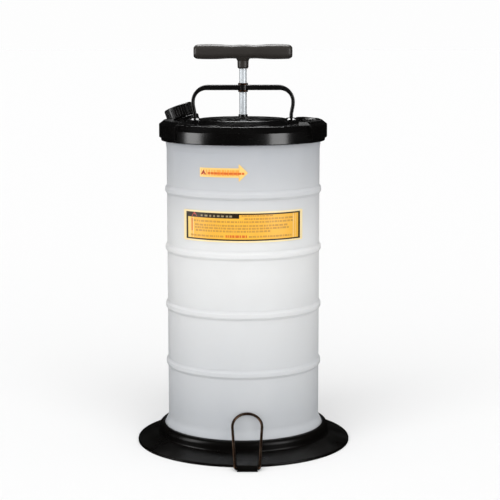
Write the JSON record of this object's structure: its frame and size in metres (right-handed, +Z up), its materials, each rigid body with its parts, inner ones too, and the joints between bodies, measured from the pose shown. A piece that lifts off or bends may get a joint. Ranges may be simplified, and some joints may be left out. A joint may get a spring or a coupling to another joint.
{
  "type": "fluid transfer pump",
  "caption": "Free-standing manual vacuum fluid pump: milky ribbed tank on a wide round stand, screw lid with T-handle piston pump, carry handle, capped pour spout, foot stirrup.",
  "frame": {"origin": "on the tank's axis, at the underside of the stand", "axes": "+Z up along the tank and pump rod, -Y to the front where the labels and the foot stirrup are, -X to the side with the pour spout"},
  "size_m": [0.324, 0.347, 0.6027],
  "materials": {
    "black_moulding": "glossy moulded polypropylene",
    "stand_moulding": "semi-matt moulded polypropylene",
    "cap_moulding": "glossy ribbed moulding",
    "handle_moulding": "smooth moulded nylon",
    "grip_moulding": "satin soft plastic",
    "tank_poly": "milky translucent polyethylene",
    "panel_film": "printed film",
    "arrow_film": "printed film",
    "stirrup_wire": "bronzed spring steel",
    "rod_chrome": "polished chrome",
    "cylinder_alloy": "drawn tube",
    "zinc_steel": "zinc plated",
    "bush_bronze": "oiled sintered bronze",
    "seal_rubber": "nitrile rubber",
    "liner_foam": "foamed polyethylene",
    "grey_nylon": "natural nylon",
    "float_poly": "moulded float"
  },
  "bodies": {
    "vessel": {"base_stand": "stand_moulding", "tank": "tank_poly", "panel_label": "panel_film", "arrow_label": "arrow_film"},
    "stirrup": {"foot_stirrup": "stirrup_wire"},
    "lid_seal": {"lid_gasket": "seal_rubber"},
    "lid_group": {"lid": "black_moulding", "spout_neck": "black_moulding", "handle_bosses": "black_moulding", "carry_handle": "handle_moulding", "handle_bush": "bush_bronze", "handle_screws": "zinc_steel", "handle_washers": "zinc_steel", "gland_nut": "cap_moulding", "rod_bush": "bush_bronze", "rod_seal": "seal_rubber", "cylinder_gasket": "seal_rubber", "pump_cylinder": "cylinder_alloy", "cylinder_foot": "grey_nylon", "air_pipe": "grey_nylon", "pipe_clips": "grey_nylon", "float_cage": "grey_nylon", "hose_socket": "cap_moulding", "socket_seal": "seal_rubber", "inlet_tube": "grey_nylon"},
    "cap_liner": {"spout_cap_liner": "liner_foam"},
    "cap": {"spout_cap": "cap_moulding"},
    "valve": {"intake_valve": "seal_rubber"},
    "float": {"float_ball": "float_poly"},
    "piston_group": {"piston": "grey_nylon", "piston_seal": "seal_rubber", "piston_flap": "seal_rubber"},
    "rod_group": {"pump_rod": "rod_chrome", "piston_washers": "zinc_steel", "rod_nut": "zinc_steel", "t_handle": "grip_moulding", "t_handle_bolt": "zinc_steel"}
  },
  "joints": [
    {"name": "stirrup_fold", "type": "hinge", "parent": "vessel", "child": "stirrup", "pos_m": [0.0053, -0.1794, 0.0036], "axis": [1, 0, 0], "range_deg": [0, 134]},
    {"name": "lid_rise", "type": "slide", "parent": "vessel", "child": "lid_seal", "axis": [0, 0, 1], "range_m": [0, 0.006]},
    {"name": "lid_turn", "type": "hinge", "parent": "lid_seal", "child": "lid_group", "pos_m": [0, 0, 0.48], "axis": [0, 0, 1], "range_deg": [0, 360]},
    {"name": "cap_rise", "type": "slide", "parent": "lid_group", "child": "cap_liner", "axis": [-0.3455, 0.1223, 0.9304], "range_m": [0, 0.009]},
    {"name": "cap_turn", "type": "hinge", "parent": "cap_liner", "child": "cap", "pos_m": [-0.09954, 0.03525, 0.5086], "axis": [-0.3455, 0.1223, 0.9304], "range_deg": [0, 900]},
    {"name": "intake_lift", "type": "slide", "parent": "lid_group", "child": "valve", "axis": [0, 0, 1], "range_m": [0, 0.0024]},
    {"name": "float_rise", "type": "slide", "parent": "lid_group", "child": "float", "axis": [0, 0, 1], "range_m": [0, 0.0103]},
    {"name": "pump_stroke", "type": "slide", "parent": "lid_group", "child": "piston_group", "axis": [0, 0, 1], "range_m": [-0.021, 0.225]},
    {"name": "handle_swivel", "type": "hinge", "parent": "piston_group", "child": "rod_group", "pos_m": [0, 0, 0.5], "axis": [0, 0, 1], "continuous": true}
  ],
  "couplings": [
    {"joint": "lid_rise", "follows": "lid_turn", "m_per_rad": 0.00095493},
    {"joint": "cap_rise", "follows": "cap_turn", "m_per_rad": 0.00057296}
  ]
}
